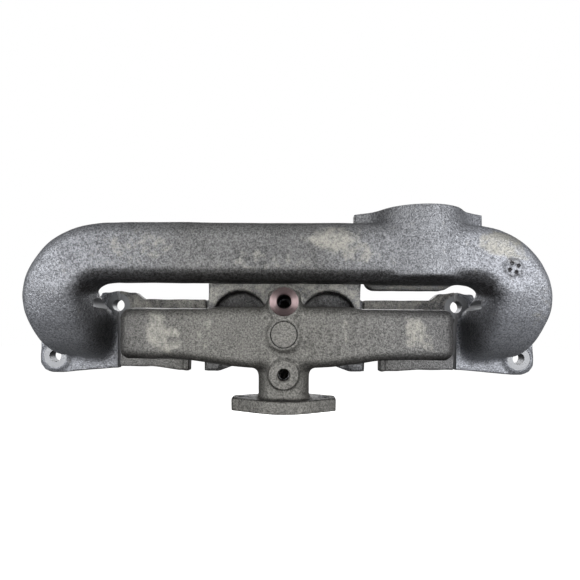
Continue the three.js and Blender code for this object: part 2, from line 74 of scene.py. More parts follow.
def stage_material():
    material = bpy.data.materials.new("studio_paper")
    material.use_nodes = True
    shader = material.node_tree.nodes["Principled BSDF"]
    shader.inputs["Base Color"].default_value = (0.93, 0.93, 0.93, 1)
    shader.inputs["Roughness"].default_value = 0.9
    shader.inputs["Emission Color"].default_value = (1, 1, 1, 1)
    shader.inputs["Emission Strength"].default_value = 1.0
    return material


def studio_floor():
    reach = 6.0
    mesh = bpy.data.meshes.new("studio_floor")
    corners = [(-reach, -reach), (reach, -reach), (reach, reach), (-reach, reach)]
    mesh.from_pydata([(x, y, FLOOR_LEVEL) for x, y in corners], [], [(0, 1, 2, 3)])
    mesh.materials.append(stage_material())
    floor = bpy.data.objects.new("studio_floor", mesh)
    floor.visible_diffuse = False
    floor.visible_glossy = False
    bpy.context.scene.collection.objects.link(floor)


def soft_light(name, place, size, power):
    data = bpy.data.lights.new(name, "AREA")
    data.shape = "RECTANGLE"
    data.size, data.size_y = size
    data.energy = power
    light = bpy.data.objects.new(name, data)
    light.location = place
    aim = -light.location.copy()
    light.rotation_euler = aim.to_track_quat("-Z", "Y").to_euler()
    bpy.context.scene.collection.objects.link(light)


def studio_world():
    world = bpy.data.worlds.new("studio_world")
    bpy.context.scene.world = world
    world.use_nodes = True
    nodes, links = world.node_tree.nodes, world.node_tree.links
    background = nodes["Background"]
    background.inputs["Color"].default_value = (1, 1, 1, 1)
    path = nodes.new("ShaderNodeLightPath")
    strength = nodes.new("ShaderNodeMapRange")
    strength.inputs["To Min"].default_value = 0.05
    strength.inputs["To Max"].default_value = 1.0
    links.new(path.outputs["Is Camera Ray"], strength.inputs["Value"])
    links.new(strength.outputs["Result"], background.inputs["Strength"])


studio_floor()
studio_world()
soft_light("left_light", (-0.75, -0.80, 0.10), (0.45, 0.45), 8)
soft_light("right_light", (0.75, -0.80, 0.10), (0.45, 0.45), 9)
soft_light("low_light", (0.0, -0.85, -0.06), (0.9, 0.25), 4)
soft_light("top_light", (0.0, -0.45, 1.2), (1.4, 0.5), 4)
soft_light("rear_light", (0.0, 1.6, 0.6), (1.6, 0.8), 20)

# Exhaust casting ------------------------------------------------------------------------------------
# One grey iron casting: a loop of square-shouldered tube from end port to end port, a riser from the
# middle ports and an outlet chamber and flange near one end. It is sand cast in a mould that parts
# at the tube's middle depth, shot blasted, then faced, drilled, spot faced and slit.
# The cast skin is the zero surface of a distance field in millimetres, so that every junction has a
# cast fillet. The core passages and the machining are cut out of it.


def field_grid(low, high, step):
    """Open arrays of X, Y and Z for a grid centred between two corners."""
    axes = []
    for a, b in zip(low, high):
        count = int(round((b - a) / step)) + 1
        axes.append((np.arange(count, dtype=np.float32) - (count - 1) / 2) * step + (a + b) / 2)
    return axes[0][:, None, None], axes[1][None, :, None], axes[2][None, None, :]


def blended(a, b, fillet):
    """Union of two fields with a fillet of about this radius between them."""
    share = np.clip(0.5 + 0.5 * (b - a) / fillet, 0, 1)
    return b * (1 - share) + a * share - fillet * share * (1 - share)


def carved(a, tool, fillet):
    """Field a with the tool's shape taken out, its rim rounded over."""
    return -blended(-a, tool, fillet)


def box_section(u, v, half_u, half_v, corner):
    qu, qv = np.abs(u) - half_u + corner, np.abs(v) - half_v + corner
    outside = np.hypot(np.maximum(qu, 0), np.maximum(qv, 0))
    return outside + np.minimum(np.maximum(qu, qv), 0) - corner


def slab(section, along, low, high, edge):
    """A flat outline given thickness along an axis, with rounded edges."""
    q = np.abs(along - (low + high) / 2) - (high - low) / 2 + edge
    s = section + edge
    outside = np.hypot(np.maximum(s, 0), np.maximum(q, 0))
    return outside + np.minimum(np.maximum(s, q), 0) - edge


def outline(a, b, corners):
    """Signed distance in a plane to a closed polygon."""
    nearest = np.inf
    inside = np.zeros(np.broadcast(a, b).shape, dtype=bool)
    for (a0, b0), (a1, b1) in zip(corners, corners[1:] + corners[:1]):
        ea, eb = a1 - a0, b1 - b0
        t = np.clip(((a - a0) * ea + (b - b0) * eb) / (ea * ea + eb * eb), 0, 1)
        nearest = np.minimum(nearest, (a - a0 - ea * t) ** 2 + (b - b0 - eb * t) ** 2)
        if eb:
            inside ^= ((b0 <= b) != (b1 <= b)) & (a < a0 + ea * (b - b0) / eb)
    return np.where(inside, -1, 1) * np.sqrt(nearest)


def disc(a, b, centre_a, centre_b, radius):
    return np.hypot(a - centre_a, b - centre_b) - radius


def eased(value, start, end):
    """0 up to start, 1 past end and a smooth step between them."""
    t = np.clip((value - start) / (end - start), 0, 1)
    return t * t * (3 - 2 * t)


def smooth_route(points, spacing=1.3):
    """Points a small step apart on a Catmull-Rom curve through the given ones."""
    p = np.array([points[0]] + points + [points[-1]], dtype=float)
    t = np.linspace(0, 1, 25)[:-1, None]
    spans = []
    for a, b, c, d in zip(p, p[1:], p[2:], p[3:]):
        cubic = 2 * b + (c - a) * t + (2 * a - 5 * b + 4 * c - d) * t**2 + (3 * b - a - 3 * c + d) * t**3
        spans.append(cubic / 2)
    fine = np.concatenate(spans + [p[-1:]])
    length = np.concatenate([[0], np.cumsum(np.linalg.norm(np.diff(fine, axis=0), axis=1))])
    stations = np.linspace(0, length[-1], int(length[-1] / spacing))
    return np.stack([np.interp(stations, length, fine[:, i]) for i in range(3)], axis=1)


def route_coordinates(route, grid):
    """How far each grid point lies from the route, along the section's height and its depth.

    The route runs from the middle of the part to one end and is mirrored to the other. The section
    starts upright and is carried along the route without twisting."""
    tangents = np.gradient(route, axis=0)
    tangents /= np.linalg.norm(tangents, axis=1)[:, None]
    heights = [np.array([0.0, 0.0, 1.0])]
    for tangent in tangents[1:]:
        height = heights[-1] - tangent * np.dot(heights[-1], tangent)
        heights.append(height / np.linalg.norm(height))
    heights = np.array(heights)
    depths = np.cross(tangents, heights)
    xs, ys, zs = (axis.ravel() for axis in grid)
    step = xs[1] - xs[0]
    right = xs[xs > -step / 4]
    flat = np.stack(np.broadcast_arrays(ys[:, None], zs[None, :]), axis=-1).reshape(-1, 2)
    offsets = []
    for x in right:
        points = np.column_stack([np.full(len(flat), x), flat])
        near = np.flatnonzero(np.abs(route[:, 0] - x) < 75)
        square = (points**2).sum(1)[:, None] + (route[near] ** 2).sum(1) - 2 * points @ route[near].T
        index = near[square.argmin(axis=1)]
        offset = points - route[index]
        along = [(offset * way[index]).sum(1).reshape(len(ys), len(zs)) for way in (heights, depths)]
        offsets.append(along)
    height, depth = np.array(offsets, dtype=np.float32).transpose(1, 0, 2, 3)
    start = 1 if abs(right[0]) < step / 4 else 0
    return [np.concatenate([half[start:][::-1], half]) for half in (height, depth)]


def cast_skin(field, grid, seed):
    """The slight unevenness of a sand mould's face, as a sum of fixed waves."""
    rng = np.random.default_rng(seed)
    total = np.zeros_like(field)
    for wave in (60, 34, 19, 11):
        for _ in range(3):
            way = rng.normal(size=3)
            way *= 2 * math.pi / wave / np.linalg.norm(way)
            phase = rng.uniform(0, 2 * math.pi)
            ripple = np.sin(way[0] * grid[0] + way[1] * grid[1] + way[2] * grid[2] + phase)
            total += (wave / 60) ** 0.8 * ripple
    return field + 0.09 * total


def field_mesh(name, field, grid):
    """The zero surface of a field as a mesh in metres, its faces pointing out."""
    step = float(grid[0][1, 0, 0] - grid[0][0, 0, 0])
    volume = openvdb.FloatGrid(background=3 * step)
    volume.copyFromArray(np.clip(field, -3 * step, 3 * step).astype(np.float32))
    points, quads = volume.convertToQuads(isovalue=0.0)
    start = np.array([axis.ravel()[0] for axis in grid])
    mesh = bpy.data.meshes.new(name)
    mesh.from_pydata(((points * step + start) * MM).tolist(), [], quads.tolist())
    body = bmesh.new()
    body.from_mesh(mesh)
    bmesh.ops.remove_doubles(body, verts=body.verts, dist=1e-6)
    bmesh.ops.recalc_face_normals(body, faces=body.faces)
    body.to_mesh(mesh)
    body.free()
    return mesh


def new_object(name, mesh):
    piece = bpy.data.objects.new(name, mesh)
    bpy.context.scene.collection.objects.link(piece)
    return piece


def rod(body, start, end, radius, sides=48):
    """A closed round rod between two points, in millimetres."""
    a, b = Vector(start), Vector(end)
    place = (b - a).to_track_quat("Z", "Y").to_matrix().to_4x4()
    place.translation = (a + b) / 2 * MM
    bmesh.ops.create_cone(
        body,
        cap_ends=True,
        segments=sides,
        radius1=radius * MM,
        radius2=radius * MM,
        depth=(b - a).length * MM,
        matrix=place,
    )


def block(body, low, high):
    made = bmesh.ops.create_cube(body, size=1.0)
    for vertex in made["verts"]:
        for i in range(3):
            vertex.co[i] = (low[i] if vertex.co[i] < 0 else high[i]) * MM


def drawn(draw_tool):
    """The mesh of a cutting tool that a function draws."""
    body = bmesh.new()
    draw_tool(body)
    bmesh.ops.recalc_face_normals(body, faces=body.faces)
    mesh = bpy.data.meshes.new("tool")
    body.to_mesh(mesh)
    body.free()
    return mesh


def cut_out(piece, tool_mesh, material):
    """Cut a tool's shape out of a piece, leaving the new faces in the given material."""
    tool_mesh.materials.clear()
    tool_mesh.materials.append(material)
    tool = new_object("tool", tool_mesh)
    cut = piece.modifiers.new("cut", "BOOLEAN")
    cut.operation = "DIFFERENCE"
    cut.solver = "MANIFOLD"
    cut.material_mode = "TRANSFER"
    cut.object = tool
    depsgraph = bpy.context.evaluated_depsgraph_get()
    result = bpy.data.meshes.new_from_object(piece.evaluated_get(depsgraph))
    piece.modifiers.remove(cut)
    old = piece.data
    name = old.name
    piece.data = result
    bpy.data.meshes.remove(old)
    result.name = name
    bpy.data.objects.remove(tool)
    bpy.data.meshes.remove(tool_mesh)


# What the machined faces and the other pieces fix: the mounts and the nodes' own boxes.
mounts = {mount["name"]: mount["pos_m"] for mount in frame["record"]["mounts"]}


def node_middle(node, axis):
    low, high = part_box(node)
    return (low[axis] + high[axis]) / 2 / MM


COLUMN_X = node_middle("stud_sleeve", 0)
UPPER_BOSS_Z = node_middle("stud_sleeve", 2)
PLUG_Z = node_middle("core_plug", 2)
LOWER_BOSS_Z = node_middle("adapter_bush", 2)
SHARED_STUD = (162.0, 26.6)
OUTER_STUD = (222.5, -22.4)
STUD_HOLE, SPOT_FACE = 5.7, 11.2
GAP = 3.0
FLANGE_THICKNESS, BOSS_THICKNESS, FLANGE_TOP = 10.0, 13.0, 33.0
LUG_TOP = 39.2
CENTRE_HALF = 75.0
SLEEVE_HOLE = 7.9  # radius of the hole that the stud sleeve goes through
STOCK = 2.0  # metal left on a face for machining
BEHIND_PORTS = ((-300, 0, -100), (300, 30, 130))  # the space behind the machined port faces
EXHAUST_STEP = 1.6
CORE_STEP = 3.2

exhaust_grid = field_grid((-246, -106, -50), (246, 8, 112), EXHAUST_STEP)
core_grid = field_grid((-246, -106, -50), (246, 12, 112), CORE_STEP)
END_PORT = (191.0, 3.0)
LOOP_Y, LOOP_Z = -67.0, 68.0
BEND_REACH, BEND_DROP = 41.0, 36.0
TUBE = {"height": 49.0, "depth": 50.0, "corner": 12.0, "draft": 0.04, "wall": 5.5}
LOOP_FRONT = LOOP_Y - TUBE["depth"] / 2
MISMATCH = 0.5  # how far one half of the mould sat out of line with the other
ELBOW_SKEW = 0.14  # the elbow stands fuller on its outer side
BEND_THINNING = 2.8  # how much less deep the tube is round its upper bends
RISER_FRONT, RISER_HALF, RISER_FOOT = -40.0, 68.5, -15.0
POCKET = {"x": 40.0, "z": 12.5, "radius": 26.0, "depth": 11.0, "half": 23.0}
OUTLET_X, OUTLET_TOP = mounts["outlet_face"][0] / MM, mounts["outlet_face"][2] / MM
OUTLET = {"y": -62.0, "bolt_y": -55.0, "radius": 37.0, "ear_x": 42.7, "bore": 22.0, "bolt": 5.2}
BUTTON = {"x": 178.8, "z": 54.8, "radius": 6.8, "proud": 1.0, "ring": 3.8, "dimple": 1.6, "turn": 26}


def loop_route():
    start = END_PORT[0] - BEND_REACH
    route = [(0, LOOP_Y, LOOP_Z), (start * 0.5, LOOP_Y, LOOP_Z), (start - 15, LOOP_Y, LOOP_Z)]
    for angle in (0, math.pi / 8, math.pi / 4, math.pi * 3 / 8):
        drop = BEND_DROP * (1 - math.cos(angle))
        route.append((start + BEND_REACH * math.sin(angle), LOOP_Y, LOOP_Z - drop))
    for forward, up in ((2, 33), (8, 22), (20, 11), (36, 3), (52, -0.5), (STOCK - LOOP_Y, -0.5)):
        route.append((END_PORT[0], LOOP_Y + forward, END_PORT[1] + up))
    return smooth_route(route)


def tube_section(height, depth, inset):
    """The tube's section: square shouldered, and widest where the mould parted."""
    half_height = TUBE["height"] / 2 - inset - TUBE["draft"] * np.abs(depth)
    corner = max(TUBE["corner"] - inset, 2.0)
    return box_section(height, depth, half_height, TUBE["depth"] / 2 - inset, corner)


def loop_outside(grid):
    height, depth = route_coordinates(loop_route(), grid)
    shifted = height + MISMATCH * (eased(depth, -0.8, 0.8) - 0.5)
    skewed = depth - ELBOW_SKEW * height * eased(grid[2], 42, 15) * eased(grid[1], -8, -40)
    corner = np.abs(grid[0]) - END_PORT[0] + grid[2] - LOOP_Z
    thinned = BEND_THINNING * eased(corner, -45, 5) * eased(grid[2], 30, 55)
    return tube_section(shifted + thinned / 2 * np.sign(height), skewed, 0)


def core_outside(grid):
    """The sand core that leaves the passages: the loop, and the riser that joins it."""
    X, Y, Z = grid
    passage = tube_section(*route_coordinates(loop_route(), grid), TUBE["wall"])
    profile = outline(
        Y,
        Z,
        [(-8, -9), (-8, 33), (-47.5, 70), (-67, 70), (-67, 56), (-47.5, 54), (-23.5, 36), (-23.5, -9)],
    )
    half = RISER_HALF - TUBE["wall"]
    riser = slab(profile, X, COLUMN_X - half, COLUMN_X + half, 3.0)
    bolt_pillar = disc(X, Z, COLUMN_X, UPPER_BOSS_Z, 12.5)
    return np.minimum(passage, carved(riser, bolt_pillar + 0 * Y, 2.0))


def end_flanges(grid):
    X, Y, Z = grid
    across = np.abs(X)
    plate = outline(
        across,
        Z,
        [
            (SHARED_STUD[0] - 8, LUG_TOP),
            (SHARED_STUD[0] + 17, LUG_TOP),
            (SHARED_STUD[0] + 20, 34),
            (214, 26),
            (228, 6),
            (236, -4),
            (238.5, -8),
            (238.5, -30),
            (234, -36),
            (228, -38.5),
            (218, -38.6),
            (SHARED_STUD[0] + 8, -34.2),
            (SHARED_STUD[0] - 8, -33.5),
        ],
    )
    field = slab(plate, Y, -FLANGE_THICKNESS, STOCK, 1.4)
    for x, z in (SHARED_STUD, OUTER_STUD):
        boss = slab(disc(across, Z, x, z, 14.0), Y, -BOSS_THICKNESS, STOCK, 1.2)
        field = blended(field, boss, 3.0)
    return field


def middle_flange(grid):
    X, Y, Z = grid
    across = np.abs(X - COLUMN_X)
    corners = [(-9, FLANGE_TOP), (CENTRE_HALF, FLANGE_TOP)]
    corners += [(CENTRE_HALF, -35.6), (62, -36), (36, -26), (-9, -26)]
    plate = slab(outline(across, Z, corners), Y, -FLANGE_THICKNESS, STOCK, 1.4)
    boss_corners = [(60, -10), (CENTRE_HALF + 1, -10), (CENTRE_HALF + 1, -35.6), (64, -35.6), (60, -30)]
    boss = slab(outline(across, Z, boss_corners), Y, -BOSS_THICKNESS, STOCK, 1.6)
    return blended(plate, boss, 2.5)


def riser(grid):
    X, Y, Z = grid
    profile = outline(
        Y,
        Z,
        [
            (STOCK, RISER_FOOT),
            (STOCK, 34),
            (-4, 40),
            (-42, 82),
            (-60, 82),
            (-60, 55),
            (RISER_FRONT, 52),
            (RISER_FRONT, RISER_FOOT),
        ],
    )
    edge = 3.5
    half = RISER_HALF + 0.08 * (Y - RISER_FRONT)
    field = np.maximum(profile + edge, np.abs(X - COLUMN_X) - half + edge) - edge
    arch = np.hypot(np.abs(X - COLUMN_X) - POCKET["x"], Z - POCKET["z"]) - POCKET["radius"]
    sides = np.abs(np.abs(X - COLUMN_X) - POCKET["x"]) - POCKET["half"]
    pocket = slab(-blended(-arch, -sides, 3.0), Y, -60.0, RISER_FRONT + POCKET["depth"], 2.5)
    field = carved(field, pocket, 1.6)
    pad_groove = np.abs(disc(X, Z, COLUMN_X, UPPER_BOSS_Z, 19.5)) - 1.0
    groove = slab(pad_groove, Y, -60.0, RISER_FRONT + 0.9, 0.3)
    field = carved(field, groove, 0.8)
    foot = slab(box_section(X - COLUMN_X, Z + 29, 15.5, 16.0, 4.0), Y, RISER_FRONT, STOCK, 2.0)
    return blended(field, foot, 4.0)


def eared(across, along, middle, half):
    """A flange with two ears in plan: the corners on one side of its middle, and their mirror."""
    corners = [(x, middle - y) for x, y in half] + [(x, middle + y) for x, y in reversed(half)]
    return outline(across, along, corners)


def outlet(grid):
    X, Y, Z = grid
    chamber = slab(disc(X, Y, OUTLET_X, OUTLET["y"], OUTLET["radius"]), Z, 46.5, OUTLET_TOP + STOCK, 3.0)
    tip = OUTLET["ear_x"] + 9
    half = [(-9, 26), (20, 24), (tip - 8, 7.5), (tip, 3)]
    ears = eared(np.abs(X - OUTLET_X - 1.5), Y, OUTLET["bolt_y"], half)
    plate = slab(ears - 3.5, Z, OUTLET_TOP - 13, OUTLET_TOP + STOCK, 1.6)
    return blended(chamber, plate, 5.0)


def outlet_shelf(grid):
    X, Y, Z = grid
    section = box_section(X - OUTLET_X + 4.5, Z - 60, 37.5, 20.5, 9.0)
    return slab(section, Y, -54.0, -36.0, 3.0)


def exhaust_field(grid):
    X, Y, Z = grid
    field = blended(loop_outside(grid), end_flanges(grid), 7.0)
    field = blended(field, blended(riser(grid), middle_flange(grid), 3.0), 5.0)
    field = blended(field, outlet_shelf(grid), 4.0)
    field = blended(field, outlet(grid), 5.0)
    raised = disc(X, Z, BUTTON["x"], BUTTON["z"], BUTTON["radius"])
    button = slab(raised, Y, LOOP_FRONT - BUTTON["proud"], -75.0, 0.4)
    field = blended(field, button, 0.6)
    return cast_skin(field, grid, seed=7)


def exhaust_faces(body):
    block(body, *BEHIND_PORTS)
    block(body, (OUTLET_X - 70, -120, OUTLET_TOP), (OUTLET_X + 70, -1, 140))


def flange_edges(body, way):
    """Clear the flanges' shared edges to the slit and on: towards the middle (-1) or the ends (1)."""
    for side in (-1, 1):
        edge = side * (SHARED_STUD[0] - way * GAP / 2)
        far = edge + way * side * 30
        block(body, (min(edge, far), -36, -50), (max(edge, far), 12, 60))


def exhaust_slits(body):
    flange_edges(body, -1)


def spot_facing(body):
    for side in (-1, 1):
        for x, z in (SHARED_STUD, OUTER_STUD):
            floor = 0.6 - BOSS_THICKNESS
            rod(body, (side * x, floor, z), (side * x, floor - 4, z), SPOT_FACE, sides=72)


def stud_holes(body):
    for side in (-1, 1):
        for x, z in (SHARED_STUD, OUTER_STUD):
            rod(body, (side * x, 20, z), (side * x, -60, z), STUD_HOLE)


def outlet_bores(body):
    rod(body, (OUTLET_X, OUTLET["bolt_y"], 62), (OUTLET_X, OUTLET["bolt_y"], 120), OUTLET["bore"], sides=96)
    for side in (-1, 1):
        x = OUTLET_X + side * OUTLET["ear_x"]
        rod(body, (x, OUTLET["bolt_y"], 80), (x, OUTLET["bolt_y"], 120), OUTLET["bolt"])


def middle_ports(body):
    for side in (-1, 1):
        x = COLUMN_X + side * 15
        block(body, (x - 10.5, -12, -9), (x + 10.5, 20, 19))


def sleeve_socket(body):
    start = RISER_FRONT - 6
    rod(body, (COLUMN_X, start, UPPER_BOSS_Z), (COLUMN_X, RISER_FRONT + 9.3, UPPER_BOSS_Z), SLEEVE_HOLE)


def stud_bore(body):
    rod(body, (COLUMN_X, RISER_FRONT + 8, UPPER_BOSS_Z), (COLUMN_X, -5, UPPER_BOSS_Z), 4.6)


def dimple_ring():
    """Geometry nodes: a ring of pins that punch the dimples of a casting button."""
    tree = bpy.data.node_groups.new("dimple_ring", "GeometryNodeTree")
    sockets = {}
    for name, kind in (
        ("Count", "NodeSocketInt"),
        ("Ring Radius", "NodeSocketFloat"),
        ("Pin Radius", "NodeSocketFloat"),
        ("Turn", "NodeSocketFloat"),
        ("Place", "NodeSocketVector"),
        ("Material", "NodeSocketMaterial"),
    ):
        sockets[name] = tree.interface.new_socket(name, in_out="INPUT", socket_type=kind).identifier
    tree.interface.new_socket("Geometry", in_out="OUTPUT", socket_type="NodeSocketGeometry")
    nodes, links = tree.nodes, tree.links
    entry, leave = nodes.new("NodeGroupInput"), nodes.new("NodeGroupOutput")
    ring = nodes.new("GeometryNodeMeshCircle")
    pin = nodes.new("GeometryNodeMeshUVSphere")
    pin.inputs["Segments"].default_value = 20
    pin.inputs["Rings"].default_value = 12
    copies = nodes.new("GeometryNodeInstanceOnPoints")
    stand = nodes.new("ShaderNodeCombineXYZ")
    stand.inputs["X"].default_value = math.pi / 2
    place = nodes.new("GeometryNodeTransform")
    real = nodes.new("GeometryNodeRealizeInstances")
    finish = nodes.new("GeometryNodeSetMaterial")
    links.new(entry.outputs["Count"], ring.inputs["Vertices"])
    links.new(entry.outputs["Ring Radius"], ring.inputs["Radius"])
    links.new(entry.outputs["Pin Radius"], pin.inputs["Radius"])
    links.new(ring.outputs["Mesh"], copies.inputs["Points"])
    links.new(pin.outputs["Mesh"], copies.inputs["Instance"])
    links.new(copies.outputs["Instances"], place.inputs["Geometry"])
    links.new(entry.outputs["Turn"], stand.inputs["Y"])
    links.new(stand.outputs["Vector"], place.inputs["Rotation"])
    links.new(entry.outputs["Place"], place.inputs["Translation"])
    links.new(place.outputs["Geometry"], real.inputs["Geometry"])
    links.new(real.outputs["Geometry"], finish.inputs["Geometry"])
    links.new(entry.outputs["Material"], finish.inputs["Material"])
    links.new(finish.outputs["Geometry"], leave.inputs["Geometry"])
    return tree, sockets


def button_dimples(material):
    tree, sockets = dimple_ring()
    holder = new_object("dimple_holder", bpy.data.meshes.new("dimple_holder"))
    pattern = holder.modifiers.new("dimple_ring", "NODES")
    pattern.node_group = tree
    face = LOOP_FRONT - BUTTON["proud"]
    for name, value in (
        ("Count", 4),
        ("Ring Radius", BUTTON["ring"] * MM),
        ("Pin Radius", BUTTON["dimple"] * MM),
        ("Turn", math.radians(-BUTTON["turn"])),
        ("Place", (BUTTON["x"] * MM, (face - 0.2) * MM, BUTTON["z"] * MM)),
        ("Material", material),
    ):
        pattern[sockets[name]] = value
    depsgraph = bpy.context.evaluated_depsgraph_get()
    mesh = bpy.data.meshes.new_from_object(holder.evaluated_get(depsgraph))
    bpy.data.objects.remove(holder)
    return mesh


def add_node(tree, kind, inputs, **settings):
    """A node with its settings, whose inputs take numbers, colours or other nodes' outputs."""
    node = tree.nodes.new(kind)
    for name, value in settings.items():
        setattr(node, name, value)
    for name, value in inputs.items():
        if isinstance(value, bpy.types.NodeSocket):
            tree.links.new(value, node.inputs[name])
        else:
            node.inputs[name].default_value = value
    return node


def noise(tree, place, scale, detail=2.0, roughness=0.5):
    inputs = {"Vector": place, "Scale": scale, "Detail": detail, "Roughness": roughness}
    return add_node(tree, "ShaderNodeTexNoise", inputs).outputs["Fac"]


def ranged(tree, value, low, high, to_low, to_high):
    inputs = {"Value": value, "From Min": low, "From Max": high, "To Min": to_low, "To Max": to_high}
    return add_node(tree, "ShaderNodeMapRange", inputs).outputs["Result"]


def added(tree, a, b):
    return add_node(tree, "ShaderNodeMath", {0: a, 1: b}, operation="ADD").outputs["Value"]


def product(tree, a, b):
    return add_node(tree, "ShaderNodeMath", {0: a, 1: b}, operation="MULTIPLY").outputs["Value"]


def mixed(tree, share, a, b, blend="MIX"):
    inputs = {"Factor": share, "A": a, "B": b}
    return add_node(tree, "ShaderNodeMix", inputs, data_type="RGBA", blend_type=blend).outputs["Result"]


def bumped(tree, height, distance):
    return add_node(tree, "ShaderNodeBump", {"Height": height, "Distance": distance}).outputs["Normal"]


def new_material(name, metallic):
    """A material with its node tree, its shader and the piece's own coordinates."""
    material = bpy.data.materials.new(name)
    material.use_nodes = True
    shader = material.node_tree.nodes["Principled BSDF"]
    shader.inputs["Metallic"].default_value = metallic
    place = material.node_tree.nodes.new("ShaderNodeTexCoord").outputs["Object"]
    return material, material.node_tree, shader, place


def connect(tree, shader, outputs):
    for name, output in outputs.items():
        tree.links.new(output, shader.inputs[name])


def sand_cast_group():
    """Blasted sand-cast grey iron: grains and pits, broad cloudiness, patches paler from rubbing and from
    painted light, and painted shade.
    """
    group = bpy.data.node_groups.new("sand_cast_iron", "ShaderNodeTree")
    colours, values = ("Dark", "Pale", "Rubbed And Lit"), ("Wear And Painted Light", "Painted Shade", "Coarse")
    group.interface.new_socket("Vector", in_out="INPUT", socket_type="NodeSocketVector")
    for name in colours + values:
        kind = "NodeSocketColor" if name in colours else "NodeSocketFloat"
        group.interface.new_socket(name, in_out="INPUT", socket_type=kind)
    group.interface.new_socket("Color", in_out="OUTPUT", socket_type="NodeSocketColor")
    for name in ("Roughness", "Height"):
        group.interface.new_socket(name, in_out="OUTPUT", socket_type="NodeSocketFloat")
    given = group.nodes.new("NodeGroupInput").outputs
    place = given["Vector"]
    fine = noise(group, place, 800.0, 2.0, 0.6)
    grains = noise(group, place, 430.0, 3.0, 0.65)
    clouds = noise(group, place, 38.0, 4.0, 0.55)
    pits = add_node(group, "ShaderNodeTexVoronoi", {"Vector": place, "Scale": 620.0}).outputs["Distance"]
    height = added(group, product(group, fine, 0.5), product(group, grains, given["Coarse"]))
    height = added(group, height, product(group, ranged(group, pits, 0.0, 0.45, 0.0, 1.0), 0.3))
    speckle = added(group, product(group, fine, 0.72), product(group, grains, 0.28))
    speckle = ranged(group, speckle, 0.38, 0.62, 0.0, 0.86)
    tone = added(group, speckle, ranged(group, clouds, 0.35, 0.65, 0.0, 0.14))
    metal = mixed(group, tone, given["Dark"], given["Pale"])
    ragged = ranged(group, noise(group, place, 150.0, 3.0, 0.6), 0.3, 0.7, -0.4, 0.4)
    # Paler patches towards the rubbed colour: rubbed wear on the fronts, and painted light on faces that are
    # made paler.
    wear_and_light_share = ranged(group, added(group, given["Wear And Painted Light"], ragged), 0.25, 0.85, 0.0, 1.0)
    wear_and_light_share = product(group, wear_and_light_share, ranged(group, fine, 0.35, 0.6, 0.45, 0.9))
    rubbed_and_lit = mixed(group, wear_and_light_share, metal, given["Rubbed And Lit"])
    # Painted shade: where the piece's painted shade attribute is set, the colour is darkened towards
    # near-black, varied with the grain.
    shade_amount = product(group, given["Painted Shade"], ranged(group, grains, 0.3, 0.7, 1.15, 0.75))
    colour = mixed(group, shade_amount, rubbed_and_lit, (0.10, 0.092, 0.088, 1), "MULTIPLY")
    leave = {"Color": colour, "Roughness": ranged(group, grains, 0.3, 0.7, 0.62, 0.42), "Height": height}
    add_node(group, "NodeGroupOutput", leave)
    return group


def cast_iron(name, dark, pale, coarse, depth):
    """Cast grey iron between a dark and a pale tone, each given at the part's middle and its ends. Where the
    ends are given paler than the middle, that is painted light.
    """
    material, tree, shader, place = new_material(name, 0.55)
    along = add_node(tree, "ShaderNodeSeparateXYZ", {"Vector": place}).outputs["X"]
    off_middle = added(tree, along, 0.03)
    distance = add_node(tree, "ShaderNodeMath", {0: off_middle}, operation="ABSOLUTE").outputs["Value"]
    towards_end = ranged(tree, distance, 0.05, 0.20, 0.0, 1.0)
    inputs = {"Vector": place, "Rubbed And Lit": (0.295, 0.287, 0.256, 1), "Coarse": coarse}
    for socket, (middle, end) in (("Dark", dark), ("Pale", pale)):
        inputs[socket] = mixed(tree, towards_end, (*middle, 1), (*end, 1))
    # Two painted attributes: paler patches from rubbed wear and from painted light, and painted shade.
    for socket, attribute in (("Wear And Painted Light", "paleness"), ("Painted Shade", "painted_shade")):
        painted = add_node(tree, "ShaderNodeAttribute", {}, attribute_name=attribute)
        inputs[socket] = painted.outputs["Fac"]
    group = bpy.data.node_groups.get("sand_cast_iron") or sand_cast_group()
    surface = add_node(tree, "ShaderNodeGroup", inputs, node_tree=group)
    tone, gloss = surface.outputs["Color"], surface.outputs["Roughness"]
    normal = bumped(tree, surface.outputs["Height"], depth)
    connect(tree, shader, {"Base Color": tone, "Roughness": gloss, "Normal": normal})
    return material


def machined_iron(name, colour, roughness):
    """Freshly cut iron, with the fine streaks that the cutter leaves."""
    material, tree, shader, place = new_material(name, 0.9)
    streaks = noise(tree, place, 500.0, 3.0)
    tone = mixed(tree, streaks, (*[c * 0.72 for c in colour], 1), (*colour, 1))
    gloss = ranged(tree, streaks, 0.0, 1.0, roughness - 0.08, roughness + 0.12)
    normal = bumped(tree, streaks, 0.00003)
    connect(tree, shader, {"Base Color": tone, "Roughness": gloss, "Normal": normal})
    return material


def points_of(piece):
    """The piece's points in millimetres and their normals, as rows."""
    count = len(piece.data.vertices)
    points, normals = (np.empty(count * 3, dtype=np.float32) for _ in range(2))
    piece.data.vertices.foreach_get("co", points)
    piece.data.vertex_normals.foreach_get("vector", normals)
    return points.reshape(-1, 3) / MM, normals.reshape(-1, 3)


def painted_on(piece, name, values):
    attribute = piece.data.attributes.new(name, "FLOAT", "POINT")
    attribute.data.foreach_set("value", np.clip(values, 0, 1).astype(np.float32))


def rubbed_patches(points, patches):
    """Where the front has been rubbed paler: ellipses with a centre, half sizes and an amount."""
    paleness = np.zeros(len(points), dtype=np.float32)
    for x, z, half_x, half_z, amount in patches:
        reach = np.hypot((points[:, 0] - x) / half_x, (points[:, 2] - z) / half_z)
        paleness = np.maximum(paleness, amount * eased(reach, 1.25, 0.6))
    return paleness * eased(points[:, 1], -60.0, -80.0)


def finished(piece, node, crease=38):
    piece.data.shade_smooth()
    piece.data.set_sharp_from_angle(angle=math.radians(crease))
    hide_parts(node)
    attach(piece, "root")
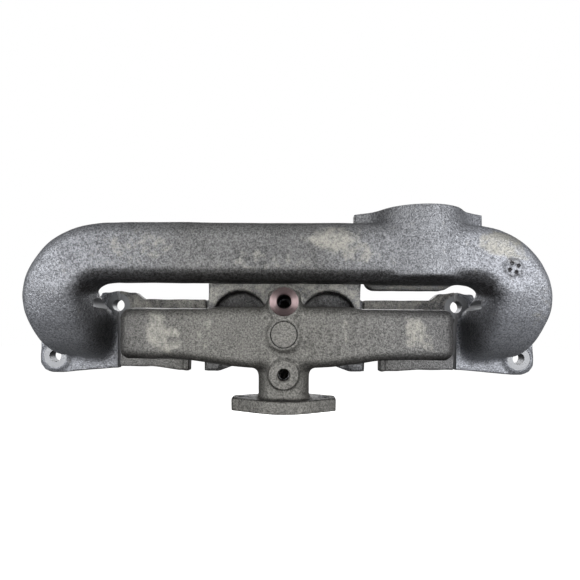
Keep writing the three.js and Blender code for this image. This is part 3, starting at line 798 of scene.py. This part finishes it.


# The exhaust's end tones are about twice as pale as its middle's: painted light for the side lamps that
# light the loop's ends and the outlet chamber. Their bluish tint is the iron's own.
exhaust_skin = cast_iron(
    "exhaust_cast_iron",
    dark=((0.040, 0.040, 0.040), (0.090, 0.094, 0.105)),
    pale=((0.172, 0.172, 0.172), (0.340, 0.352, 0.385)),
    coarse=1.0,
    depth=0.0006,
)
exhaust_cut = machined_iron("exhaust_machined_iron", (0.22, 0.225, 0.235), 0.5)
exhaust_mesh = field_mesh("exhaust_casting_piece", exhaust_field(exhaust_grid), exhaust_grid)
exhaust = new_object("exhaust_casting_piece", exhaust_mesh)
exhaust.data.materials.append(exhaust_skin)
cut_out(exhaust, field_mesh("exhaust_core", core_outside(core_grid), core_grid), exhaust_skin)
cut_out(exhaust, button_dimples(exhaust_skin), exhaust_skin)
cut_out(exhaust, drawn(middle_ports), exhaust_skin)
cut_out(exhaust, drawn(stud_bore), exhaust_skin)
for tool in (exhaust_faces, exhaust_slits, spot_facing, stud_holes, outlet_bores, sleeve_socket):
    cut_out(exhaust, drawn(tool), exhaust_cut)


def exhaust_wear_and_painted_light(points):
    """Patches rubbed paler on the loop's front, and painted light that makes the riser's face and the outlet
    shelf's front paler.
    """
    x, y, z = points.T
    patches = [
        (36, 77, 22, 11, 0.75),
        (56, 67, 16, 9, 0.55),
        (168, 74, 20, 11, 0.85),
        (180, 66, 12, 8, 0.6),
        (-118, 70, 30, 12, 0.35),
        (-20, 60, 40, 9, 0.25),
        (205, 30, 8, 22, 0.25),
    ]
    # Painted light: the riser's face and the outlet shelf's front are made paler.
    painted_light_on_riser = eased(np.abs(y + 41), 3, 1) * eased(z, 12, 34)
    painted_light_on_shelf = shelf_front(points)
    return np.maximum(rubbed_patches(points, patches), 0.62 * np.maximum(painted_light_on_riser, painted_light_on_shelf))


def shelf_front(points):
    x, y, z = points.T
    return eased(np.abs(x - OUTLET_X + 4), 42, 38) * eased(np.abs(y + 54), 4, 2) * eased(z, 46, 44)


def button_painted_shade(points):
    """Painted shade in the casting button's dimples, and a painted shadow line round its edge."""
    across, up = points[:, 0] - BUTTON["x"], points[:, 2] - BUTTON["z"]
    in_dimples = np.zeros(len(points), dtype=bool)
    for i in range(4):
        angle = math.radians(BUTTON["turn"]) + i * math.pi / 2
        pin_x, pin_z = BUTTON["ring"] * math.cos(angle), BUTTON["ring"] * math.sin(angle)
        in_dimples |= np.hypot(across - pin_x, up - pin_z) < BUTTON["dimple"] + 0.1
    round_edge = eased(np.abs(np.hypot(across, up) - BUTTON["radius"] - 0.3), 1.2, 0.4)
    return (0.8 * in_dimples + 0.45 * round_edge) * (points[:, 1] < LOOP_FRONT + 7)


def exhaust_painted_shade(points, normals):
    """Painted shade on the undersides, in the pockets, on the legs' inner sides, down the stud bore and at
    the casting button.
    """
    x, y, z = points.T
    under = eased(-normals[:, 2], 0.0, 0.6) * eased(z, 22, 40) * eased(y, -8, -30)
    under *= 1 - shelf_front(points)
    in_pocket = eased(y, -38.6, -36.5) * eased(y, -22, -26) * eased(np.abs(x), 70, 62)
    inner_legs = eased(-normals[:, 0] * np.sign(x), 0.3, 0.9) * eased(y, -10, -30) * eased(z, 50, 20)
    in_bore = (disc(x, z, COLUMN_X, UPPER_BOSS_Z, 0) < SLEEVE_HOLE + 0.3) & (y > RISER_FRONT + 5)
    return 0.88 * under + 0.62 * in_pocket + 0.5 * inner_legs + in_bore + button_painted_shade(points)


points, normals = points_of(exhaust)
# Painted on the piece: paler patches from rubbed wear and painted light, then painted shade.
painted_on(exhaust, "paleness", exhaust_wear_and_painted_light(points))
painted_on(exhaust, "painted_shade", exhaust_painted_shade(points, normals))
finished(exhaust, "exhaust_casting")

# Intake casting -------------------------------------------------------------------------------------
# One grey iron casting inside the exhaust loop: a square-ended log with a runner back to each intake
# port, a neck down to the updraught carburettor's flange, and three round bosses on its column.
# Its stud flanges share a slit and a stud with the exhaust flanges on either side.
INTAKE_STEP = 1.25
intake_grid = field_grid((-164, -94, -67), (164, 8, 46), INTAKE_STEP)
intake_core_grid = field_grid((-164, -94, -67), (164, 12, 46), 2 * INTAKE_STEP)
PORT_X, LOG_Y, LOG_Z = 120.0, -65.5, 1.0
LOG = {"half_depth": 21.0, "half_height": 21.3, "end": 137.0, "end_corner": 12.0, "edge": 8.0, "draft": 0.06}
RUNNER_HALF, INTAKE_WALL = 17.0, 5.5
NECK_Y, NECK_HALF = -63.0, 21.0
CARB_TOP = -52.5
CARB_FACE = mounts["carburettor_face"][2] / MM
CARB = {"ear_x": 34.15, "ear_radius": 10.0, "radius": 25.0, "bolt": 4.8, "throat": 15.0}
BOSS_RADIUS, GAUGE_HOLE = 12.3, 4.2
SLEEVE_HEAD, FIT = 2.0, 0.3
BOSS_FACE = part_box("stud_sleeve")[0][1] / MM + SLEEVE_HEAD + FIT
PAD_FACE = RISER_FRONT - 1.6
NOTCH = {"offset": CENTRE_HALF + 9.5, "half": 7.5, "z": -22.4}


def log_and_runners(grid, wall):
    X, Y, Z = grid
    end, depth = LOG["end"] - wall, LOG["half_depth"] - wall
    log = box_section(X, Y - LOG_Y, end, depth, LOG["end_corner"] - wall)
    runner = box_section(np.abs(X) - PORT_X, Y + 30, RUNNER_HALF - wall, 34 + STOCK, 2.0)
    plan = blended(log, runner, 12.0)
    height = LOG["half_height"] - wall - LOG["draft"] * np.abs(Y - LOG_Y)
    q = np.abs(Z - LOG_Z) - height
    if wall == 0:
        across = np.abs(X - COLUMN_X)
        rise = 1.8 * eased(across, 70, 50) * eased(Z, -5, 5)
        drop = 7.0 * eased(across, 96, 22) * eased(Z, 5, -5)
        q = q - rise - drop
        bands = eased(across, 46, 50) * eased(across, 58, 52)
        bands = bands + 0.8 * eased(across, 78, 82) * eased(across, 100, 86)
        plan = plan + 1.5 * bands * eased(Y, -70, -80)
    edge = max(LOG["edge"] - wall / 2, 3.0)
    s, q = plan + edge, q + edge
    return np.hypot(np.maximum(s, 0), np.maximum(q, 0)) + np.minimum(np.maximum(s, q), 0) - edge


def intake_flanges(grid):
    X, Y, Z = grid
    field = 1e3 + 0 * (X + Y + Z)
    for side in (-1, 1):
        across = side * X
        inner = CENTRE_HALF + 0.8 + side * COLUMN_X
        slit = SHARED_STUD[0] - GAP / 2
        corners = [
            (inner, FLANGE_TOP),
            (inner, -35.6),
            (inner + 26, -35.6),
            (inner + 34, -35.0 - side / 2),
            (inner + 52, -33.2 - side),
            (slit + 8, -33.2 - side),
            (slit + 8, LUG_TOP),
            (slit - 14, LUG_TOP),
            (slit - 22, FLANGE_TOP),
        ]
        plate = slab(outline(across, Z, corners), Y, -FLANGE_THICKNESS, STOCK, 1.4)
        lug = slab(disc(across, Z, *SHARED_STUD, 14.0), Y, -BOSS_THICKNESS, STOCK, 1.2)
        notch_x = NOTCH["offset"] + side * COLUMN_X
        boss = slab(box_section(across - notch_x, Z + 28, 13.0, 7.8, 3.0), Y, -BOSS_THICKNESS, STOCK, 1.6)
        boss = np.maximum(boss, inner - across + 0 * Z)
        side_field = blended(blended(plate, lug, 2.5), boss, 2.0)
        round_top = NOTCH["z"] + NOTCH["half"]
        slot = box_section(across - notch_x, Z + 60, NOTCH["half"], 60 + round_top, NOTCH["half"])
        field = np.minimum(field, carved(side_field, slot + 0 * Y, 1.2))
    return field


def neck_and_flange(grid):
    X, Y, Z = grid
    neck = slab(box_section(X - COLUMN_X, Y - NECK_Y, NECK_HALF, NECK_HALF, 15.0), Z, CARB_TOP - 3, 0, 1.0)
    radius, tip = CARB["radius"], CARB["ear_x"] + 6.5
    half = [(-6, radius), (7, radius - 1), (18, radius - 5.5), (tip, 6.5)]
    ears = eared(np.abs(X - COLUMN_X), Y, NECK_Y, half)
    plate = slab(ears - 3.2, Z, CARB_FACE - STOCK, CARB_TOP, 1.4)
    return blended(neck, plate, 4.5)


def column_field(grid):
    X, Y, Z = grid
    pad = slab(box_section(X - COLUMN_X, Z + 2.4, 14.0, 40.0, 4.0), Y, LOG_Y, PAD_FACE, 1.5)
    spine = slab(disc(X, Z, COLUMN_X, UPPER_BOSS_Z, BOSS_RADIUS + 0.3), Y, BOSS_FACE, PAD_FACE, 0.8)
    return blended(pad, spine, 3.0)


def intake_field(grid):
    X, Y, Z = grid
    field = blended(log_and_runners(grid, 0), intake_flanges(grid), 6.0)
    field = blended(field, neck_and_flange(grid), 7.0)
    field = blended(field, column_field(grid), 9.0)
    for z, fillet in ((PLUG_Z, 6.0), (LOWER_BOSS_Z, 2.5)):
        boss = slab(disc(X, Z, COLUMN_X, z, BOSS_RADIUS), Y, BOSS_FACE, NECK_Y, 0.9)
        field = blended(field, boss, fillet)
    return cast_skin(field, grid, seed=11)


def intake_core(grid):
    X, Y, Z = grid
    throat = slab(disc(X, Y, COLUMN_X, NECK_Y, CARB["throat"]), Z, -90.0, LOG_Z, 0.5)
    return blended(log_and_runners(grid, INTAKE_WALL), throat, 4.0)


def intake_faces(body):
    block(body, *BEHIND_PORTS)
    block(body, (-70, -120, -100), (70, -5, CARB_FACE))


def intake_slits(body):
    flange_edges(body, 1)


def carburettor_bolts(body):
    for side in (-1, 1):
        x = COLUMN_X + side * CARB["ear_x"]
        rod(body, (x, NECK_Y, -80), (x, NECK_Y, CARB_TOP + 4), CARB["bolt"])


def column_bores(body):
    front = BOSS_FACE - 2
    rod(body, (COLUMN_X, front, UPPER_BOSS_Z), (COLUMN_X, 0, UPPER_BOSS_Z), SLEEVE_HOLE, sides=64)
    rod(body, (COLUMN_X, front, PLUG_Z), (COLUMN_X, -74, PLUG_Z), 11.0, sides=96)
    rod(body, (COLUMN_X, front, LOWER_BOSS_Z), (COLUMN_X, BOSS_FACE + 8.3, LOWER_BOSS_Z), 7.3, sides=64)


def gauge_passage(body):
    rod(body, (COLUMN_X, BOSS_FACE + 7, LOWER_BOSS_Z), (COLUMN_X, NECK_Y, LOWER_BOSS_Z), GAUGE_HOLE)


intake_skin = cast_iron(
    "intake_cast_iron",
    dark=((0.040, 0.039, 0.036), (0.040, 0.040, 0.042)),
    pale=((0.168, 0.164, 0.152), (0.16, 0.16, 0.165)),
    coarse=1.0,
    depth=0.0006,
)
intake_cut = machined_iron("intake_machined_iron", (0.24, 0.245, 0.255), 0.5)
intake_mesh = field_mesh("intake_casting_piece", intake_field(intake_grid), intake_grid)
intake = new_object("intake_casting_piece", intake_mesh)
intake.data.materials.append(intake_skin)
cut_out(intake, field_mesh("intake_core", intake_core(intake_core_grid), intake_core_grid), intake_skin)
cut_out(intake, drawn(gauge_passage), intake_skin)
for tool in (intake_faces, intake_slits, spot_facing, stud_holes, carburettor_bolts, column_bores):
    cut_out(intake, drawn(tool), intake_cut)


def intake_wear_and_painted_light(points):
    """Patches rubbed paler on the log's front, and painted light that makes the flange plates' faces paler.
    """
    patches = [
        (-105, 4, 9, 17, 0.65),
        (-97, -3, 14, 12, 0.5),
        (103, 3, 9, 14, 0.65),
        (113, -6, 6, 8, 0.5),
        (-66, 2, 6, 14, 0.25),
        (47, 4, 3, 12, 0.3),
    ]
    painted_light_on_flange = eased(np.abs(points[:, 1] + 11), 4, 2) * eased(points[:, 2], 18, 24)
    return np.maximum(rubbed_patches(points, patches), 0.5 * painted_light_on_flange)


def intake_painted_shade(points, normals):
    """Painted shade under the log, towards its ends, on top of the carburettor flange and down the lower
    bore.
    """
    x, y, z = points.T
    under = eased(-normals[:, 2], 0.15, 0.85) * eased(y, -8, -20)
    log_ends = eased(np.abs(x), 108, 134) * eased(y, -14, -40)
    in_bore = (disc(x, z, COLUMN_X, LOWER_BOSS_Z, 0) < GAUGE_HOLE + 0.8) & (y > BOSS_FACE + 5)
    carburettor_top = eased(normals[:, 2], 0.5, 0.9) * eased(z, -48, -51)
    return 0.6 * under + 0.4 * log_ends + in_bore + 0.75 * carburettor_top


points, normals = points_of(intake)
# Painted on the piece: paler patches from rubbed wear and painted light, then painted shade.
painted_on(intake, "paleness", intake_wear_and_painted_light(points))
painted_on(intake, "painted_shade", intake_painted_shade(points, normals))
finished(intake, "intake_casting")

# Riser gasket ---------------------------------------------------------------------------------------
# A thin pressed sheet of fibre board between the intake's pad and the exhaust riser's column. The
# stud's sleeve passes through its one hole.


def gasket_board():
    material, tree, shader, place = new_material("gasket_board", 0.0)
    shader.inputs["Roughness"].default_value = 0.9
    fibres = noise(tree, place, 1400.0, 4.0)
    tone = mixed(tree, fibres, (0.055, 0.05, 0.045, 1), (0.13, 0.115, 0.10, 1))
    connect(tree, shader, {"Base Color": tone, "Normal": bumped(tree, fibres, 0.0001)})
    return material


def gasket_sheet():
    low, high = ([v / MM for v in corner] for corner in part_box("riser_gasket"))
    body = bmesh.new()
    block(body, low, high)
    edges = [e for e in body.edges if abs(e.verts[0].co.y - e.verts[1].co.y) > 1e-6]
    bmesh.ops.bevel(body, geom=edges, offset=3.5 * MM, segments=8, affect="EDGES", profile=0.5)
    rim = [e for e in body.edges if e.calc_face_angle(0) > 1.2]
    bmesh.ops.bevel(body, geom=rim, offset=0.15 * MM, segments=2, affect="EDGES", profile=0.5)
    mesh = bpy.data.meshes.new("riser_gasket_sheet")
    body.to_mesh(mesh)
    body.free()
    return mesh


def gasket_hole(body):
    rod(body, (COLUMN_X, -50, UPPER_BOSS_Z), (COLUMN_X, -30, UPPER_BOSS_Z), SLEEVE_HOLE, sides=64)


gasket_finish = gasket_board()
gasket = new_object("riser_gasket_sheet", gasket_sheet())
gasket.data.materials.append(gasket_finish)
cut_out(gasket, drawn(gasket_hole), gasket_finish)
finished(gasket, "riser_gasket")

# Stud sleeve ----------------------------------------------------------------------------------------
# A headed steel sleeve through the upper boss into the riser, turned on a lathe and pushed in. Its
# head is faced off with fine rings and has taken a reddish tarnish.


def lathed(name, profile, z, sides=96, thread=None):
    """A closed profile of (radius, y) turned about the column's Y axis at a height.

    thread = (bore radius, first y, last y, pitch, depth) winds a screw thread into the bore."""
    verts, faces = [], []
    count = len(profile)
    for i in range(sides):
        angle = 2 * math.pi * i / sides
        for radius, y in profile:
            r = radius
            if thread and abs(radius - thread[0]) < 1e-6 and thread[1] <= y <= thread[2]:
                phase = (y / thread[3] + i / sides) % 1.0
                r += thread[4] * (1 - abs(2 * phase - 1))
            verts.append(((COLUMN_X + r * math.cos(angle)) * MM, y * MM, (z + r * math.sin(angle)) * MM))
    for i in range(sides):
        a, b = i * count, (i + 1) % sides * count
        for j in range(count):
            k = (j + 1) % count
            faces.append((a + j, a + k, b + k, b + j))
    mesh = bpy.data.meshes.new(name)
    mesh.from_pydata(verts, [], faces)
    body = bmesh.new()
    body.from_mesh(mesh)
    bmesh.ops.remove_doubles(body, verts=body.verts, dist=1e-7)
    bmesh.ops.dissolve_degenerate(body, edges=body.edges, dist=1e-7)
    bmesh.ops.recalc_face_normals(body, faces=body.faces)
    body.to_mesh(mesh)
    body.free()
    return new_object(name, mesh)


def faced_rings(inner, outer, y, pitch, depth):
    """Points of a turned face from inner to outer radius: fine rings left by the tool."""
    count = max(2, int((outer - inner) / pitch))
    points = []
    for i in range(count):
        start = inner + (outer - inner) * i / count
        points.append((start, y))
        points.append((start + 0.5 * (outer - inner) / count, y + depth))
    return points + [(outer, y)]


def turned_steel(name, dark, pale, z, bore, roughness):
    """Turned steel: rings about the piece's own axis, a soft patchy tarnish and a bore painted near-black as
    shade.
    """
    material, tree, shader, place = new_material(name, 0.9)
    middle = {"Vector": place, "Location": (-COLUMN_X * MM, 0, -z * MM)}
    centred = add_node(tree, "ShaderNodeMapping", middle).outputs["Vector"]
    flat = add_node(tree, "ShaderNodeVectorMath", {0: centred, 1: (1, 0, 1)}, operation="MULTIPLY")
    length = {0: flat.outputs["Vector"]}
    radius = add_node(tree, "ShaderNodeVectorMath", length, operation="LENGTH").outputs["Value"]
    across = {"W": radius, "Scale": 2600.0, "Detail": 2.0}
    rings = add_node(tree, "ShaderNodeTexNoise", across, noise_dimensions="1D").outputs["Fac"]
    clouds = noise(tree, place, 180.0)
    share = added(tree, product(tree, rings, 0.6), product(tree, clouds, 0.4))
    outside = ranged(tree, radius, (bore + 0.2) * MM, (bore + 0.7) * MM, 0.0, 1.0)
    tone = mixed(tree, share, (*dark, 1), (*pale, 1))
    # Painted shade: inside the bore the colour is near-black.
    tone = mixed(tree, outside, (0.004, 0.004, 0.004, 1), tone)
    gloss = ranged(tree, clouds, 0.0, 1.0, roughness - 0.08, roughness + 0.12)
    normal = bumped(tree, rings, 0.00006)
    connect(tree, shader, {"Base Color": tone, "Roughness": gloss, "Normal": normal})
    return material


def node_span(node):
    """Front and back of a node in millimetres."""
    low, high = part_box(node)
    return low[1] / MM, high[1] / MM


def sleeve_profile():
    front, tip = node_span("stud_sleeve")
    head, shank, bore = 11.6, 7.6, 5.1
    face = faced_rings(bore + 1.0, head - 0.6, front, 0.5, 0.09)
    body = [
        (head - 0.15, front + 0.2),
        (head, front + 0.6),
        (head, front + SLEEVE_HEAD - 0.4),
        (head - 0.4, front + SLEEVE_HEAD),
        (shank + 0.3, front + SLEEVE_HEAD),
        (shank, front + SLEEVE_HEAD + 0.4),
        (shank, tip - 1.0),
        (shank - 0.8, tip),
        (bore + 0.5, tip),
        (bore, tip - 0.5),
        (bore, front + 1.0),
    ]
    return face + body


sleeve = lathed("stud_sleeve_piece", sleeve_profile(), UPPER_BOSS_Z, sides=128)
sleeve.data.materials.append(
    turned_steel("sleeve_steel", (0.06, 0.042, 0.042), (0.17, 0.128, 0.130), UPPER_BOSS_Z, 5.1, 0.36)
)
finished(sleeve, "stud_sleeve", 30)

# Core plug ------------------------------------------------------------------------------------------
# A shallow pressed cup that closes the log's core hole. It is driven in flush with its boss, with a
# narrow groove left all round, and blasted with the casting.


def plug_profile():
    front, back = node_span("core_plug")
    front -= 0.9
    radius, wall = 10.6, 2.0
    return [
        (0.0, front + 0.25),
        (radius * 0.5, front + 0.22),
        (radius - 1.6, front + 0.1),
        (radius - 0.9, front),
        (radius - 0.25, front + 0.2),
        (radius, front + 0.7),
        (radius, back - 0.3),
        (radius - 0.3, back),
        (radius - wall + 0.3, back),
        (radius - wall, back - 0.3),
        (radius - wall, front + wall + 0.8),
        (radius - wall - 0.8, front + wall),
        (0.0, front + wall),
    ]


def blasted_steel(name, coarse):
    """Steel that was blasted together with the casting, and so looks like it."""
    dark, pale = (0.040, 0.039, 0.036), (0.175, 0.170, 0.158)
    return cast_iron(name, (dark, dark), (pale, pale), coarse, depth=0.0004)


plug = lathed("core_plug_piece", plug_profile(), PLUG_Z, sides=96)
plug.data.materials.append(blasted_steel("plug_blasted_steel", 0.7))
finished(plug, "core_plug", 30)

# Adapter bush ---------------------------------------------------------------------------------------
# A steel bush screwed into the lower boss and blasted with the casting. Its thin flange is seated
# on the boss face, and a fine thread runs down its bore for a small pipe fitting.


def bush_profile():
    front, tip = node_span("adapter_bush")
    head, radius, bore, thickness = 11.6, 7.0, 4.5, 1.0
    pitch_points = 60
    face = faced_rings(bore + 0.9, head - 0.5, front, 0.7, 0.04)
    body = [
        (head - 0.1, front + 0.15),
        (head, front + 0.4),
        (head, front + thickness - 0.2),
        (head - 0.2, front + thickness),
        (radius, front + thickness),
        (radius, tip - 0.8),
        (radius - 0.8, tip),
        (bore + 0.8, tip),
    ]
    first, last = front + 0.9, tip - 0.8
    bore_line = [(bore, last + (first - last) * i / pitch_points) for i in range(pitch_points + 1)]
    return face + body + bore_line, (bore, first + 0.2, last - 0.2, 1.0, 0.45)


profile, bush_thread = bush_profile()
bush = lathed("adapter_bush_piece", profile, LOWER_BOSS_Z, sides=96, thread=bush_thread)
bush.data.materials.append(blasted_steel("bush_blasted_steel", 0.6))
points, _ = points_of(bush)
# Painted shade: the bush's bore is darkened.
painted_on(bush, "painted_shade", eased(disc(points[:, 0], points[:, 2], COLUMN_X, LOWER_BOSS_Z, 0), 5.4, 5.0))
finished(bush, "adapter_bush", 30)
